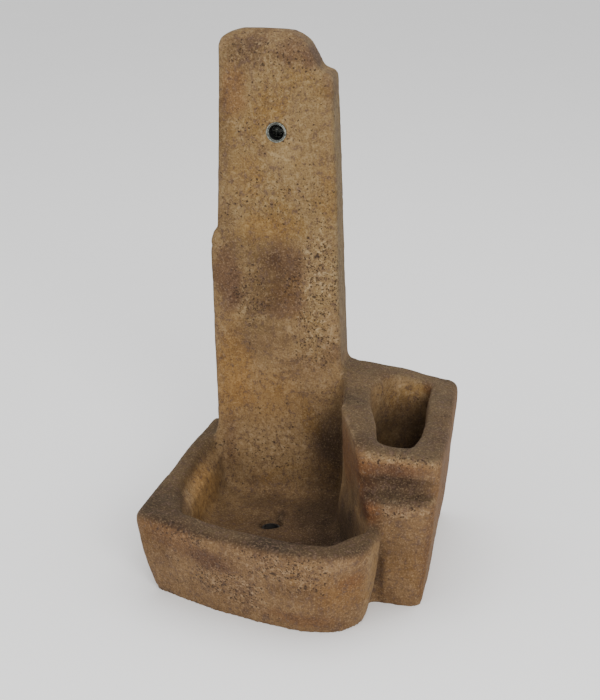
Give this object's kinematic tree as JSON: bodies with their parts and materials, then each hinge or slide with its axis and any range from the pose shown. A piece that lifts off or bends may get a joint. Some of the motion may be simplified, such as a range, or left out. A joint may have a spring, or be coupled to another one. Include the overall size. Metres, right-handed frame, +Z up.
{
  "type": "garden fountain",
  "caption": "Cast stone garden fountain: a tall back column with a spout socket over a curved basin with a drain, joined to a stepped planter block with a deep pocket.",
  "frame": {"origin": "centre of the bounding box on the ground plane", "axes": "+X to the right seen from the front, +Y to the back, -Y the front that the basin faces, +Z up"},
  "size_m": [0.38, 0.4, 0.7],
  "materials": {
    "cast_stone": "matte, weathered, finely pitted",
    "zinc_steel": "dull zinc plating",
    "bar_steel": "mill scale",
    "grey_plastic": "matte"
  },
  "bodies": {
    "root": {"cast_stone_body": "cast_stone", "spout_elbow": "zinc_steel", "inlet_elbow": "zinc_steel", "riser_pipe": "zinc_steel", "drain_sleeve": "grey_plastic", "column_bar_left": "bar_steel", "column_bar_right": "bar_steel", "column_rung_1": "bar_steel", "column_rung_2": "bar_steel", "column_rung_3": "bar_steel", "column_rung_4": "bar_steel", "column_rung_5": "bar_steel", "floor_long_bar_1": "bar_steel", "floor_long_bar_2": "bar_steel", "floor_long_bar_3": "bar_steel", "floor_cross_bar_1": "bar_steel", "floor_cross_bar_2": "bar_steel", "floor_cross_bar_3": "bar_steel", "basin_hoop_lower": "bar_steel", "basin_hoop_upper": "bar_steel", "planter_hoop_lower": "bar_steel", "planter_hoop_upper": "bar_steel"}
  },
  "joints": []
}
